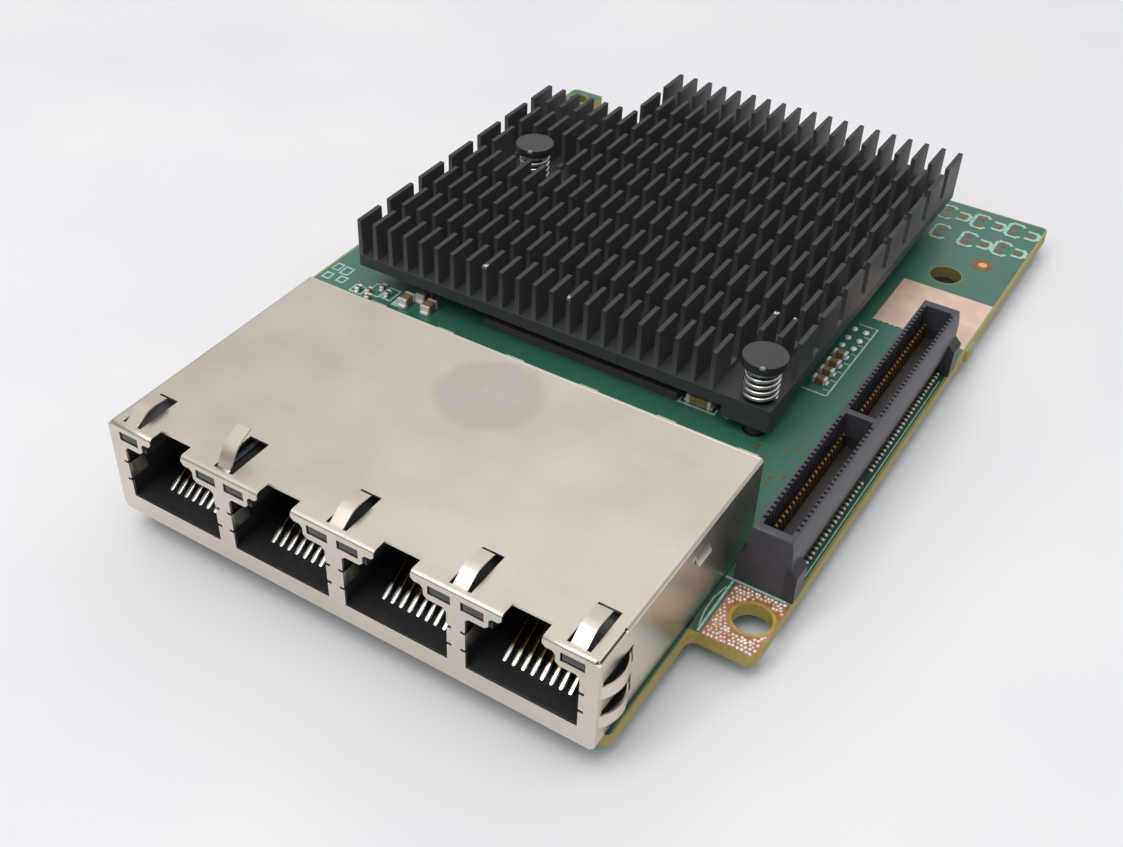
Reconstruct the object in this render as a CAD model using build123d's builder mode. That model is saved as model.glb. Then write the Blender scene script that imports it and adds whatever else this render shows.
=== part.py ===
from build123d import *
import os

os.makedirs("parts", exist_ok=True)

# Driving dimensions, in millimetres.
# X runs along the row of ports, Y from the port face to the back edge, and Z is up.
# The origin is under the middle of the card, on the surface that its pins stand on.
pin_drop = 2.0
board_thick = 1.6
board_top = pin_drop + board_thick
face_y = -55.0
back_y = 55.0

# Circuit board: a narrow tongue under the jack and a wide field with two front ears.
board_left = -38.2
board_right = 37.8
tongue_margin = 0.5
tongue_front = face_y + 1.8
ear_front = face_y + 17.5
board_corner = 1.0
nib_y = face_y + 77.5
nib_reach = 0.4
nib_length = 2.4
ear_hole = 4.0
ear_hole_inset = 2.45
ear_hole_y = face_y + 22.0
guide_hole = 4.0
guide_hole_at = (29.95, face_y + 91.1)
back_notch = (-33.2, -14.3)
back_notch_depth = 6.0
corner_hole = 2.8
corner_hole_at = (-35.9, face_y + 107.2)

# Port jack: four ports in one gang, behind a folded shield.
jack_x = 1.7
jack_width = 57.6
jack_depth = 31.7
jack_height = 11.3
sheet = 0.3
bend = 0.5
plate_drop = 0.3
side_lift = 0.2
port_pitch = 13.97
port_count = 4
contact_count = 8
port_xs = [jack_x + (i - (port_count - 1) / 2) * port_pitch for i in range(port_count)]
opening_width = 11.93
opening_sill = 2.0
opening_top = 8.68
throat_width = 6.9
throat_top = 10.2
notch_width = 4.14
notch_depth = 1.85
lamp_x = 5.18
lamp_z = 9.93
lamp_width = 2.5
lamp_height = 1.13
flap_low = 4.35
flap_high = 6.35
flap_depth = 2.4
flap_sheet = 0.25
relief = 0.35
housing_depth = 15.0
cavity_width = 12.6
cavity_depth = 13.5
cavity_floor = 1.9
cavity_roof = 8.7
latch_width = 6.4
lamp_gap = 0.1

# Ground springs lanced out of the shield: five on top, two on each side.
spring_slot = 2.4
spring_width = 1.6
spring_front = 0.8
spring_back = 6.2
spring_sheet = 0.2
strip_shift = 0.17
spring_rise = 0.9
spring_bends = [(0.5, 0.0), (1.0, 0.08), (2.15, 0.9), (2.65, 1.1), (3.4, 1.16), (5.1, 1.0)]
lifted_bends = [(0.5, 0.0), (1.0, 0.1), (1.35, 0.85), (1.75, 1.5), (2.4, 2.15), (3.2, 2.6), (4.4, 3.1)]
end_spring_x = 26.2
side_spring_zs = [3.25, 7.15]
lance_at = (18.9, 8.95)
lance_size = (2.6, 1.1)
lance_reach = 0.45
plate_corner = 0.45
corner_relief = 0.35
seam_end = 4.75
ground_tab_y = 18.3
ground_tab_width = 1.4
rear_lug_first = -18.8
rear_lug_pitch = 9.16
rear_lug_count = 6
rear_lug_width = 2.2
rear_lug_reach = 0.3
rear_tab_x = 20.0

# Heat sink: a base plate with 25 cross-cut fins, held by two sprung push pins.
sink_left = jack_x - 33.4
fin_pitch = 2.345
fin_thick = 0.6
fin_count = 25
short_fins = 6
sink_front = face_y + 46.35
sink_back = face_y + 105.2
short_back = face_y + 91.25
sink_under = board_top + 3.2
base_thick = 1.6
base_top = sink_under + base_thick
fin_top = board_top + 9.9
row_slot = 1.75
row_pitch = 6.8
row_count = 8
first_slot = face_y + 51.5
slot_floor = base_top + 0.7
front_pin = (jack_x + 21.2, face_y + 48.35)
back_pin = (jack_x - 25.15, face_y + 74.5)
pin_pocket = 9.4
pin_hole = 3.2
pin_cap = 5.1
pin_cap_thick = 1.1
pin_cap_top = board_top + 10.5
pin_stem = 2.3
barb_width = 3.5
barb_tip = 1.3
barb_slit = 0.5
board_pin_hole = 2.7
coil_radius = 1.85
coil_wire = 0.42
coil_turns = 4
coil_steps = 12

# Board-to-board connector on the right edge: two bays in one housing.
plug_x = jack_x + 32.9
plug_front = face_y + 25.9
plug_back = face_y + 72.4
plug_height = 7.7
plug_half = 2.1
plug_belly = 2.4
plug_belly_z = 4.9
plug_waist = 1.65
plug_waist_z = 1.0
plug_stand = 0.35
foot_half = 3.2
foot_length = 2.4
foot_height = 3.5
foot_shoulder = 4.3
bay_half = 1.55
bay_floor = 3.4
bay_starts = [face_y + 26.95, face_y + 48.15]
bay_ends = [face_y + 47.35, face_y + 71.35]
bay_contacts = [24, 28]
contact_pitch = 0.8
lead_width = 0.3
lead_thick = 0.18
lead_x = 0.95
lead_top = 5.8
lead_reach = 2.05
slot_width = 0.3
channel_half = 2.2

# Chips and small parts on the board.
chip_size = 27.0
chip_cap_size = 25.0
chip_sheet = 1.1
chip_height = 2.6
chip_at = ((front_pin[0] + back_pin[0]) / 2, (front_pin[1] + back_pin[1]) / 2)

# Circuit board, cut in one outline with its mounting, push pin and jack pin holes.
tail_pitch = 2.54
tail_rows = 2
tail_columns = 3
tail_size = 0.5
tail_hole = 0.8
tail_row_gap = 7.6
tail_y = face_y + 23.4
tongue_width = jack_width + 2 * tongue_margin
with BuildPart() as circuit_board:
    with BuildSketch(Plane.XY.offset(pin_drop)) as board_outline:
        with Locations(((board_left + board_right) / 2, (ear_front + back_y) / 2)):
            Rectangle(board_right - board_left, back_y - ear_front)
        with Locations((jack_x, (tongue_front + ear_front) / 2 + board_corner)):
            Rectangle(tongue_width, ear_front - tongue_front + 2 * board_corner)
        fillet(board_outline.vertices(), radius=board_corner)
        with Locations((sum(back_notch) / 2, back_y)):
            Rectangle(back_notch[1] - back_notch[0], 2 * back_notch_depth, mode=Mode.SUBTRACT)
        with Locations((board_right, nib_y)):
            RectangleRounded(2 * nib_reach, nib_length, 0.35)
        ear_holes = [(board_right - ear_hole_inset, ear_hole_y), (board_left + ear_hole_inset, ear_hole_y)]
        with Locations(*ear_holes):
            Circle(ear_hole / 2, mode=Mode.SUBTRACT)
        with Locations(guide_hole_at):
            Circle(guide_hole / 2, mode=Mode.SUBTRACT)
        with Locations(corner_hole_at):
            Circle(corner_hole / 2, mode=Mode.SUBTRACT)
        with Locations(front_pin, back_pin):
            Circle(board_pin_hole / 2, mode=Mode.SUBTRACT)
        for x in port_xs:
            with Locations((x, tail_y)):
                with GridLocations(tail_pitch, tail_row_gap, tail_columns, tail_rows):
                    Rectangle(tail_hole, tail_hole, mode=Mode.SUBTRACT)
        side_tabs = [(jack_x + s * (jack_width - sheet) / 2, face_y + ground_tab_y) for s in (-1, 1)]
        with Locations(*side_tabs):
            Rectangle(sheet + 0.3, ground_tab_width + 0.4, mode=Mode.SUBTRACT)
        rear_tabs = [(jack_x + s * rear_tab_x, face_y + jack_depth - sheet / 2) for s in (-1, 1)]
        with Locations(*rear_tabs):
            Rectangle(ground_tab_width + 0.4, sheet + 0.3, mode=Mode.SUBTRACT)
    extrude(amount=board_thick)
circuit_board.part.label = "circuit_board"
export_step(circuit_board.part, "parts/circuit_board.step")

# Jack shield: one folded sheet with the front plate, the top and both sides.
shield_depth = jack_depth - sheet
port_plane = Plane.XZ.offset(-face_y)
jack_low = board_top - plate_drop
jack_high = board_top + jack_height
side_low = board_top + side_lift
spring_xs = [jack_x - end_spring_x] + [jack_x + (i - 1) * port_pitch for i in range(3)] + [jack_x + end_spring_x]
spring_mid = (spring_front + spring_back) / 2
spring_long = spring_back - spring_front
with BuildPart() as jack_shield:
    with BuildSketch(Plane.XY.offset(jack_low)):
        with Locations((jack_x, face_y + shield_depth / 2)):
            Rectangle(jack_width, shield_depth)
    extrude(amount=jack_high - jack_low)
    front_edges = jack_shield.edges().group_by(Axis.Y)[0]
    bends = jack_shield.edges().filter_by(Axis.Y).group_by(Axis.Z)[-1] + front_edges.group_by(Axis.Z)[-1]
    fillet(bends, radius=bend)
    with BuildSketch(Plane.XY.offset(jack_low)):
        with Locations((jack_x, face_y + sheet + shield_depth / 2)):
            Rectangle(jack_width - 2 * sheet, shield_depth)
    extrude(amount=jack_high - sheet - jack_low, mode=Mode.SUBTRACT)
    with BuildSketch(Plane.XY.offset(jack_low)):
        with Locations((jack_x, face_y + sheet + shield_depth / 2)):
            Rectangle(jack_width + 2, shield_depth)
    extrude(amount=side_low - jack_low, mode=Mode.SUBTRACT)
    chamfer(jack_shield.edges().filter_by(Axis.Y).group_by(Axis.Z)[0], length=plate_corner)
    # Relief notches where the three bends meet, and at the back end of the seam behind each of them.
    with BuildSketch(Plane.XY.offset(jack_high - corner_relief)):
        with Locations(*[(jack_x + s * jack_width / 2, face_y) for s in (-1, 1)]):
            Rectangle(3 * corner_relief, 2 * corner_relief)
        with Locations(*[(jack_x + s * jack_width / 2, face_y + seam_end) for s in (-1, 1)]):
            Rectangle(2 * corner_relief, corner_relief)
    extrude(amount=corner_relief, mode=Mode.SUBTRACT)
    with BuildSketch(port_plane) as port_cuts:
        with Locations(*[(x, board_top + (opening_sill + opening_top) / 2) for x in port_xs]):
            Rectangle(opening_width, opening_top - opening_sill)
        with Locations(*[(x, board_top + (opening_sill + throat_top) / 2) for x in port_xs]):
            Rectangle(throat_width, throat_top - opening_sill)
        with Locations(*[(x, board_top + (opening_sill + jack_height) / 2) for x in port_xs]):
            Rectangle(notch_width, jack_height - opening_sill)
        chamfer(port_cuts.vertices().group_by(Axis.Y)[-2], length=0.35)
        chamfer(port_cuts.vertices().group_by(Axis.Y)[1], length=0.4)
        slit_xs = [x + s * (opening_width + relief) / 2 for x in port_xs for s in (-1, 1)]
        slit_zs = [board_top + flap_low - relief / 2, board_top + flap_high + relief / 2]
        with Locations(*[(x, z) for x in slit_xs for z in slit_zs]):
            Rectangle(2 * relief, relief)
        with Locations(*[(x + s * lamp_x, board_top + lamp_z) for x in port_xs for s in (-1, 1)]):
            Rectangle(lamp_width, lamp_height)
    extrude(amount=-sheet, mode=Mode.SUBTRACT)
    with BuildSketch(Plane.XY.offset(jack_high - 2 * sheet)):
        with Locations(*[(x, face_y + notch_depth / 2) for x in port_xs]):
            Rectangle(notch_width, notch_depth)
        with Locations(*[(x, face_y + spring_mid) for x in spring_xs]):
            Rectangle(spring_slot, spring_long)
    extrude(amount=3 * sheet, mode=Mode.SUBTRACT)
    with BuildSketch(Plane.YZ.offset(jack_x - jack_width)):
        with Locations(*[(face_y + spring_mid, board_top + z) for z in side_spring_zs]):
            Rectangle(spring_long, spring_slot)
        with Locations((face_y + lance_at[0], board_top + lance_at[1])):
            Rectangle(*lance_size)
    extrude(amount=2 * jack_width, mode=Mode.SUBTRACT)
    # The ground springs on top are bent strips, rooted in front of their slots: a steep ramp and a flat run
    # to a free tip. The second one is bent up. The side springs are arched.
    for i, x in enumerate(spring_xs):
        bends = lifted_bends if i == 1 else spring_bends
        upper = [(face_y + y, jack_high + z) for y, z in bends]
        lower = [(y + strip_shift, z - strip_shift) for y, z in reversed(upper)]
        with BuildSketch(Plane.YZ.offset(x - spring_width / 2)):
            with BuildLine():
                Polyline(*upper, *lower, close=True)
            make_face()
        extrude(amount=spring_width)
    for side in (-1, 1):
        wall_x = jack_x + side * jack_width / 2
        for z in side_spring_zs:
            with BuildSketch(Plane.XY.offset(board_top + z - spring_width / 2)):
                with BuildLine():
                    outer = ThreePointArc(
                        (wall_x, face_y + spring_front - 0.3),
                        (wall_x + side * spring_rise, face_y + spring_mid),
                        (wall_x - side * sheet, face_y + spring_back - 0.3),
                    )
                    inner = ThreePointArc(
                        (wall_x - side * spring_sheet, face_y + spring_front - 0.3),
                        (wall_x + side * (spring_rise - spring_sheet), face_y + spring_mid),
                        (wall_x - side * (sheet + spring_sheet), face_y + spring_back - 0.3),
                    )
                    Line(outer @ 0, inner @ 0)
                    Line(outer @ 1, inner @ 1)
                make_face()
            extrude(amount=spring_width)
        # The lance is a short tongue that hangs from its upper edge, with its lower edge bent outwards.
        lance_low = board_top + lance_at[1] - lance_size[1] / 2
        lance_high = board_top + lance_at[1] + lance_size[1] / 2
        with BuildSketch(Plane.XZ.offset(-(face_y + lance_at[0] - lance_size[0] / 2))):
            with BuildLine():
                Polyline(
                    (wall_x, lance_high),
                    (wall_x + side * lance_reach, lance_low),
                    (wall_x + side * (lance_reach - spring_sheet), lance_low),
                    (wall_x - side * spring_sheet, lance_high),
                    close=True,
                )
            make_face()
        extrude(amount=-lance_size[0])
    # Contact flaps folded inwards at both edges of each opening.
    with BuildSketch(Plane.XY.offset(board_top + flap_low)):
        flap_xs = [x + s * (opening_width + flap_sheet) / 2 for x in port_xs for s in (-1, 1)]
        with Locations(*[(x, face_y + flap_depth / 2) for x in flap_xs]):
            Rectangle(flap_sheet, flap_depth)
    extrude(amount=flap_high - flap_low)
    # Ground tabs through the board.
    with BuildSketch():
        with Locations(*side_tabs):
            Rectangle(sheet, ground_tab_width)
    extrude(amount=side_low + sheet)
jack_shield.part.label = "jack_shield"
export_step(jack_shield.part, "parts/jack_shield.step")

# Rear shield: a plate that closes the jack, with lugs over the top sheet and two ground tabs.
rear_y = face_y + shield_depth
with BuildPart() as jack_rear_shield:
    with BuildSketch(Plane.XY.offset(side_low)):
        with Locations((jack_x, rear_y + sheet / 2)):
            Rectangle(jack_width, sheet)
    extrude(amount=jack_high - side_low)
    fillet(jack_rear_shield.edges().filter_by(Axis.Y).group_by(Axis.Z)[-1], radius=bend)
    with BuildSketch(Plane.XY.offset(jack_high - 1.6)):
        lug_xs = [jack_x + rear_lug_first + i * rear_lug_pitch for i in range(rear_lug_count)]
        with Locations(*[(x, rear_y + sheet) for x in lug_xs]):
            Rectangle(rear_lug_width, 2 * rear_lug_reach)
    extrude(amount=1.6 - 0.1)
    with BuildSketch():
        with Locations(*rear_tabs):
            Rectangle(ground_tab_width, sheet)
    extrude(amount=side_low + sheet)
jack_rear_shield.part.label = "jack_rear_shield"
export_step(jack_rear_shield.part, "parts/jack_rear_shield.step")

# Jack housing: the moulded block with four plug cavities, latch channels and lamp channels.
housing_gap = 0.05
housing_front = face_y + sheet + housing_gap
housing_top = jack_high - sheet - housing_gap
with BuildPart() as jack_housing:
    with BuildSketch(Plane.XY.offset(board_top)):
        with Locations((jack_x, housing_front + housing_depth / 2)):
            Rectangle(jack_width - 2 * (sheet + housing_gap), housing_depth)
    extrude(amount=housing_top - board_top)
    cavity_plane = Plane.XZ.offset(-housing_front)
    with BuildSketch(cavity_plane) as cavity_cuts:
        with Locations(*[(x, board_top + (cavity_floor + cavity_roof) / 2) for x in port_xs]):
            Rectangle(cavity_width, cavity_roof - cavity_floor)
        with Locations(*[(x, board_top + (cavity_floor + jack_height) / 2) for x in port_xs]):
            Rectangle(latch_width, jack_height - cavity_floor)
    extrude(amount=-cavity_depth, mode=Mode.SUBTRACT)
    with BuildSketch(cavity_plane):
        with Locations(*[(x + s * lamp_x, board_top + lamp_z) for x in port_xs for s in (-1, 1)]):
            Rectangle(lamp_width + lamp_gap, lamp_height + lamp_gap)
    extrude(amount=-housing_depth, mode=Mode.SUBTRACT)
    # Clearance behind the windows where the springs press into the shield's own slots.
    relief_depth = 0.7
    with BuildSketch(Plane.XY.offset(housing_top - relief_depth)):
        with Locations(*[(x, face_y + spring_mid + 0.4) for x in spring_xs]):
            Rectangle(spring_slot, spring_long)
    extrude(amount=relief_depth, mode=Mode.SUBTRACT)
    for side in (-1, 1):
        wall_x = jack_x + side * (jack_width / 2 - sheet - housing_gap)
        with BuildSketch(Plane.YZ.offset(wall_x - relief_depth / 2)):
            with Locations(*[(face_y + spring_mid + 0.4, board_top + z) for z in side_spring_zs]):
                Rectangle(spring_long, spring_slot)
        extrude(amount=relief_depth, mode=Mode.SUBTRACT)
jack_housing.part.label = "jack_housing"
export_step(jack_housing.part, "parts/jack_housing.step")

# Inside each port: eight contact wires, two lamp lenses, the potted transformers and the board pins.
wire_pitch = 1.02
wire_width = 0.44
wire_thick = 0.34
wire_front = face_y + 2.7
wire_bend = face_y + 10.6
wire_low = board_top + cavity_floor
wire_high = board_top + 6.4
wire_end = housing_front + cavity_depth
lens_front = face_y + 0.4
lens_back = housing_front + housing_depth
core_front = housing_front + housing_depth + 0.05
core_back = rear_y - 0.05
core_width = port_pitch - 0.15
core_height = 10.2
for n, x in enumerate(port_xs, start=1):
    with BuildPart() as contacts:
        first = x - wire_pitch * (contact_count - 1) / 2 - wire_width / 2
        for i in range(contact_count):
            with BuildSketch(Plane.YZ.offset(first + i * wire_pitch)):
                with BuildLine():
                    Polyline(
                        (wire_front, wire_low),
                        (wire_bend, wire_high + wire_thick),
                        (wire_end, wire_high + wire_thick),
                        (wire_end, wire_high),
                        (wire_bend + wire_thick / 2, wire_high),
                        (wire_front + 2 * wire_thick, wire_low),
                        close=True,
                    )
                make_face()
            extrude(amount=wire_width)
    contacts.part.label = f"port_{n}_contacts"
    export_step(contacts.part, f"parts/port_{n}_contacts.step")

    with BuildPart() as lenses:
        with BuildSketch(Plane.XZ.offset(-lens_front)):
            with Locations((x - lamp_x, board_top + lamp_z), (x + lamp_x, board_top + lamp_z)):
                Rectangle(lamp_width - lamp_gap, lamp_height - lamp_gap)
        extrude(amount=lens_front - lens_back)
        chamfer(lenses.faces().group_by(Axis.Y)[0].edges(), length=0.12)
    lenses.part.label = f"port_{n}_lamp_lenses"
    export_step(lenses.part, f"parts/port_{n}_lamp_lenses.step")

    with BuildPart() as core:
        with BuildSketch(Plane.XY.offset(board_top)):
            with Locations((x, (core_front + core_back) / 2)):
                Rectangle(core_width, core_back - core_front)
        extrude(amount=core_height)
        chamfer(core.edges().group_by(Axis.Z)[-1], length=0.6)
    core.part.label = f"port_{n}_transformers"
    export_step(core.part, f"parts/port_{n}_transformers.step")

    with BuildPart() as tails:
        with BuildSketch():
            with Locations((x, tail_y)):
                with GridLocations(tail_pitch, tail_row_gap, tail_columns, tail_rows):
                    Rectangle(tail_size, tail_size)
        extrude(amount=board_top)
    tails.part.label = f"port_{n}_board_pins"
    export_step(tails.part, f"parts/port_{n}_board_pins.step")

# Heat sink: extruded fins on a base plate, cut across by eight slots and milled out round the pins.
fin_xs = [sink_left + fin_thick / 2 + i * fin_pitch for i in range(fin_count)]
sink_right = fin_xs[-1] + fin_thick / 2
long_left = fin_xs[short_fins] - fin_thick / 2
with BuildPart() as heat_sink:
    with BuildSketch(Plane.XY.offset(sink_under)):
        with Locations(((sink_left + sink_right) / 2, (sink_front + short_back) / 2)):
            Rectangle(sink_right - sink_left, short_back - sink_front)
        with Locations(((long_left + sink_right) / 2, (sink_front + sink_back) / 2)):
            Rectangle(sink_right - long_left, sink_back - sink_front)
        with Locations(front_pin, back_pin):
            Circle(pin_hole / 2, mode=Mode.SUBTRACT)
    extrude(amount=base_thick)
    with BuildSketch(Plane.XY.offset(base_top)):
        with Locations(*[(x, (sink_front + short_back) / 2) for x in fin_xs[:short_fins]]):
            Rectangle(fin_thick, short_back - sink_front)
        with Locations(*[(x, (sink_front + sink_back) / 2) for x in fin_xs[short_fins:]]):
            Rectangle(fin_thick, sink_back - sink_front)
        pocket_left = front_pin[0] - pin_pocket / 2 + 1.2
        with Locations(((pocket_left + sink_right + 1) / 2, sink_front)):
            Rectangle(sink_right + 1 - pocket_left, 2 * (front_pin[1] + pin_pocket / 2 - sink_front), mode=Mode.SUBTRACT)
        with Locations((back_pin[0], back_pin[1] + 0.6)):
            Rectangle(pin_pocket, row_pitch, mode=Mode.SUBTRACT)
    extrude(amount=fin_top - base_top)
    with BuildSketch(Plane.XY.offset(slot_floor)):
        with Locations(*[((sink_left + sink_right) / 2, first_slot + i * row_pitch) for i in range(row_count)]):
            Rectangle(sink_right - sink_left + 2, row_slot)
    extrude(amount=fin_top - slot_floor, mode=Mode.SUBTRACT)
heat_sink.part.label = "heat_sink"
export_step(heat_sink.part, "parts/heat_sink.step")

# Push pins: moulded pins with a disc cap and a split barb, each with its coil spring.
for name, (x, y) in (("front", front_pin), ("back", back_pin)):
    cap_under = pin_cap_top - pin_cap_thick
    with BuildPart() as push_pin:
        with BuildSketch(Plane.XZ.offset(-y)):
            with BuildLine():
                Polyline(
                    (x, 0),
                    (x + barb_tip / 2, 0),
                    (x + barb_width / 2, pin_drop),
                    (x + pin_stem / 2, pin_drop),
                    (x + pin_stem / 2, cap_under),
                    (x + pin_cap / 2, cap_under),
                    (x + pin_cap / 2, pin_cap_top),
                    (x, pin_cap_top),
                    close=True,
                )
            make_face()
        revolve(axis=Axis((x, y, 0), (0, 0, 1)))
        with BuildSketch():
            with Locations((x, y)):
                Rectangle(barb_slit, barb_width + 1)
        extrude(amount=pin_drop, mode=Mode.SUBTRACT)
    push_pin.part.label = f"{name}_push_pin"
    export_step(push_pin.part, f"parts/{name}_push_pin.step")

    coil_low = base_top + coil_wire / 2
    coil_rise = cap_under - base_top - coil_wire
    with BuildPart() as spring:
        with BuildLine() as coil:
            turn = Helix(coil_rise / coil_turns, coil_rise, coil_radius, center=(x, y, coil_low), mode=Mode.PRIVATE)
            step_count = coil_turns * coil_steps
            Polyline(*[turn @ (i / step_count) for i in range(step_count + 1)])
        with BuildSketch(Plane(origin=coil.line @ 0, z_dir=coil.line % 0)):
            Rectangle(coil_wire, coil_wire)
        sweep(transition=Transition.RIGHT)
    spring.part.label = f"{name}_pin_spring"
    export_step(spring.part, f"parts/{name}_pin_spring.step")

# Controller chip under the heat sink, with the soft pad that carries its heat.
with BuildPart() as controller_chip:
    with BuildSketch(Plane.XY.offset(board_top)):
        with Locations(chip_at):
            Rectangle(chip_size, chip_size)
    extrude(amount=chip_sheet)
    with BuildSketch(Plane.XY.offset(board_top + chip_sheet)):
        with Locations(chip_at):
            Rectangle(chip_cap_size, chip_cap_size)
    extrude(amount=chip_height - chip_sheet, taper=15)
controller_chip.part.label = "controller_chip"
export_step(controller_chip.part, "parts/controller_chip.step")

pad_size = 23.0
with BuildPart() as thermal_pad:
    with BuildSketch(Plane.XY.offset(board_top + chip_height)):
        with Locations(chip_at):
            Rectangle(pad_size, pad_size)
    extrude(amount=sink_under - board_top - chip_height)
thermal_pad.part.label = "thermal_pad"
export_step(thermal_pad.part, "parts/thermal_pad.step")

# Board-to-board connector: a round-sided housing with two bays, contact slots and wide end feet.
plug_length = plug_back - plug_front
bay_mids = [(a + b) / 2 for a, b in zip(bay_starts, bay_ends)]
with BuildPart() as connector_housing:
    with BuildSketch(Plane.XZ.offset(-plug_front)):
        with BuildLine():
            under = Polyline(
                (plug_x, board_top + plug_stand),
                (plug_x + plug_waist, board_top + plug_stand),
                (plug_x + plug_waist, board_top + plug_waist_z),
            )
            flank = ThreePointArc(
                under @ 1,
                (plug_x + plug_belly, board_top + plug_belly_z),
                (plug_x + plug_half, board_top + plug_height),
            )
            rim = Line(flank @ 1, (plug_x, board_top + plug_height))
            mirror([under, flank, rim], about=Plane.YZ.offset(plug_x))
        make_face()
    extrude(amount=-plug_length)
    for foot_front in (plug_front, plug_back - foot_length):
        with BuildSketch(Plane.XZ.offset(-foot_front)):
            with BuildLine():
                foot = Polyline(
                    (plug_x, board_top),
                    (plug_x + foot_half, board_top),
                    (plug_x + foot_half, board_top + foot_height),
                    (plug_x + plug_belly, board_top + foot_shoulder),
                    (plug_x + plug_half, board_top + plug_height),
                    (plug_x, board_top + plug_height),
                )
                mirror(foot, about=Plane.YZ.offset(plug_x))
            make_face()
        extrude(amount=-foot_length)
    with BuildSketch(Plane.XY.offset(board_top + bay_floor)):
        for start, end in zip(bay_starts, bay_ends):
            with Locations((plug_x, (start + end) / 2)):
                Rectangle(2 * bay_half, end - start)
    extrude(amount=plug_height, mode=Mode.SUBTRACT)
    # The contacts pass from the bays to the board through one slot along each wall.
    with BuildSketch(Plane.XY.offset(board_top)):
        slot_x = lead_x + lead_thick / 2
        for start, end in zip(bay_starts, bay_ends):
            with Locations(*[(plug_x + s * slot_x, (start + end) / 2) for s in (-1, 1)]):
                Rectangle(slot_width, end - start)
    extrude(amount=bay_floor, mode=Mode.SUBTRACT)
    # A shallow channel under the feet leaves room for the solder feet.
    with BuildSketch(Plane.XY.offset(board_top)):
        for start, end in zip(bay_starts, bay_ends):
            with Locations((plug_x, (start + end) / 2)):
                Rectangle(2 * channel_half, end - start)
    extrude(amount=plug_stand, mode=Mode.SUBTRACT)
connector_housing.part.label = "connector_housing"
export_step(connector_housing.part, "parts/connector_housing.step")

# Connector contacts: one bent strip in each groove, with its solder foot on the board.
for name, side in (("inner", -1), ("outer", 1)):
    with BuildPart() as leads:
        for mid, count in zip(bay_mids, bay_contacts):
            first = mid - contact_pitch * (count - 1) / 2 - lead_width / 2
            for i in range(count):
                with BuildSketch(Plane.XZ.offset(-(first + i * contact_pitch))):
                    with BuildLine():
                        Polyline(
                            (plug_x + side * lead_x, board_top),
                            (plug_x + side * lead_reach, board_top),
                            (plug_x + side * lead_reach, board_top + lead_thick),
                            (plug_x + side * (lead_x + lead_thick), board_top + lead_thick),
                            (plug_x + side * (lead_x + lead_thick), board_top + lead_top),
                            (plug_x + side * lead_x, board_top + lead_top),
                            close=True,
                        )
                    make_face()
                extrude(amount=-lead_width)
    leads.part.label = f"connector_contacts_{name}"
    export_step(leads.part, f"parts/connector_contacts_{name}.step")

# Chip capacitors: ceramic blocks with soldered metal ends.
cap_size = (1.7, 0.9, 0.85)
cap_x = jack_x + 23.85
cap_ys = [face_y + 60.55, face_y + 62.6, face_y + 64.55, face_y + 66.6]
with BuildPart() as connector_capacitors:
    with BuildSketch(Plane.XY.offset(board_top)):
        with Locations(*[(cap_x, y) for y in cap_ys]):
            Rectangle(cap_size[0], cap_size[1])
    extrude(amount=cap_size[2])
connector_capacitors.part.label = "connector_capacitors"
export_step(connector_capacitors.part, "parts/connector_capacitors.step")

supply_cap_size = (3.2, 1.6, 1.2)
supply_cap_at = (jack_x + 14.0, face_y + 49.2)
with BuildPart() as supply_capacitor:
    with BuildSketch(Plane.XY.offset(board_top)):
        with Locations(supply_cap_at):
            Rectangle(supply_cap_size[0], supply_cap_size[1])
    extrude(amount=supply_cap_size[2])
supply_capacitor.part.label = "supply_capacitor"
export_step(supply_capacitor.part, "parts/supply_capacitor.step")

bulk_size = (2.0, 1.3, 1.2)
bulk_at = [(jack_x - 26.2, face_y + 46.3), (jack_x - 24.9, face_y + 48.3), (jack_x - 22.9, face_y + 46.6)]
with BuildPart() as bulk_capacitors:
    with BuildSketch(Plane.XY.offset(board_top)):
        with Locations(*bulk_at):
            Rectangle(bulk_size[1], bulk_size[0])
    extrude(amount=bulk_size[2])
bulk_capacitors.part.label = "bulk_capacitors"
export_step(bulk_capacitors.part, "parts/bulk_capacitors.step")

filter_size = (1.1, 0.6, 0.55)
filter_at = [(-33.1, 45.4), (-31.7, 45.7), (-30.6, 47.3), (-29.3, 46.5), (-30.9, 44.5)]
with BuildPart() as filter_capacitors:
    with BuildSketch(Plane.XY.offset(board_top)):
        with Locations(*[(jack_x + x, face_y + y) for x, y in filter_at]):
            Rectangle(filter_size[1], filter_size[0])
    extrude(amount=filter_size[2])
filter_capacitors.part.label = "filter_capacitors"
export_step(filter_capacitors.part, "parts/filter_capacitors.step")

# Parts under the heat sink: memory, clock crystal, regulators and their inductors.
memory_at = (-14.0, face_y + 88.0)
memory_size = (4.9, 3.9, 1.5)
memory_lead = (0.42, 6.0, 0.25)
memory_pitch = 1.27
with BuildPart() as memory_chip:
    with BuildSketch(Plane.XY.offset(board_top)):
        with Locations(memory_at):
            with GridLocations(memory_pitch, 1, 4, 1):
                Rectangle(memory_lead[0], memory_lead[1])
    extrude(amount=memory_lead[2])
    with BuildSketch(Plane.XY.offset(board_top + memory_lead[2])):
        with Locations(memory_at):
            Rectangle(memory_size[0], memory_size[1])
    extrude(amount=memory_size[2], taper=6)
memory_chip.part.label = "memory_chip"
export_step(memory_chip.part, "parts/memory_chip.step")

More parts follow.
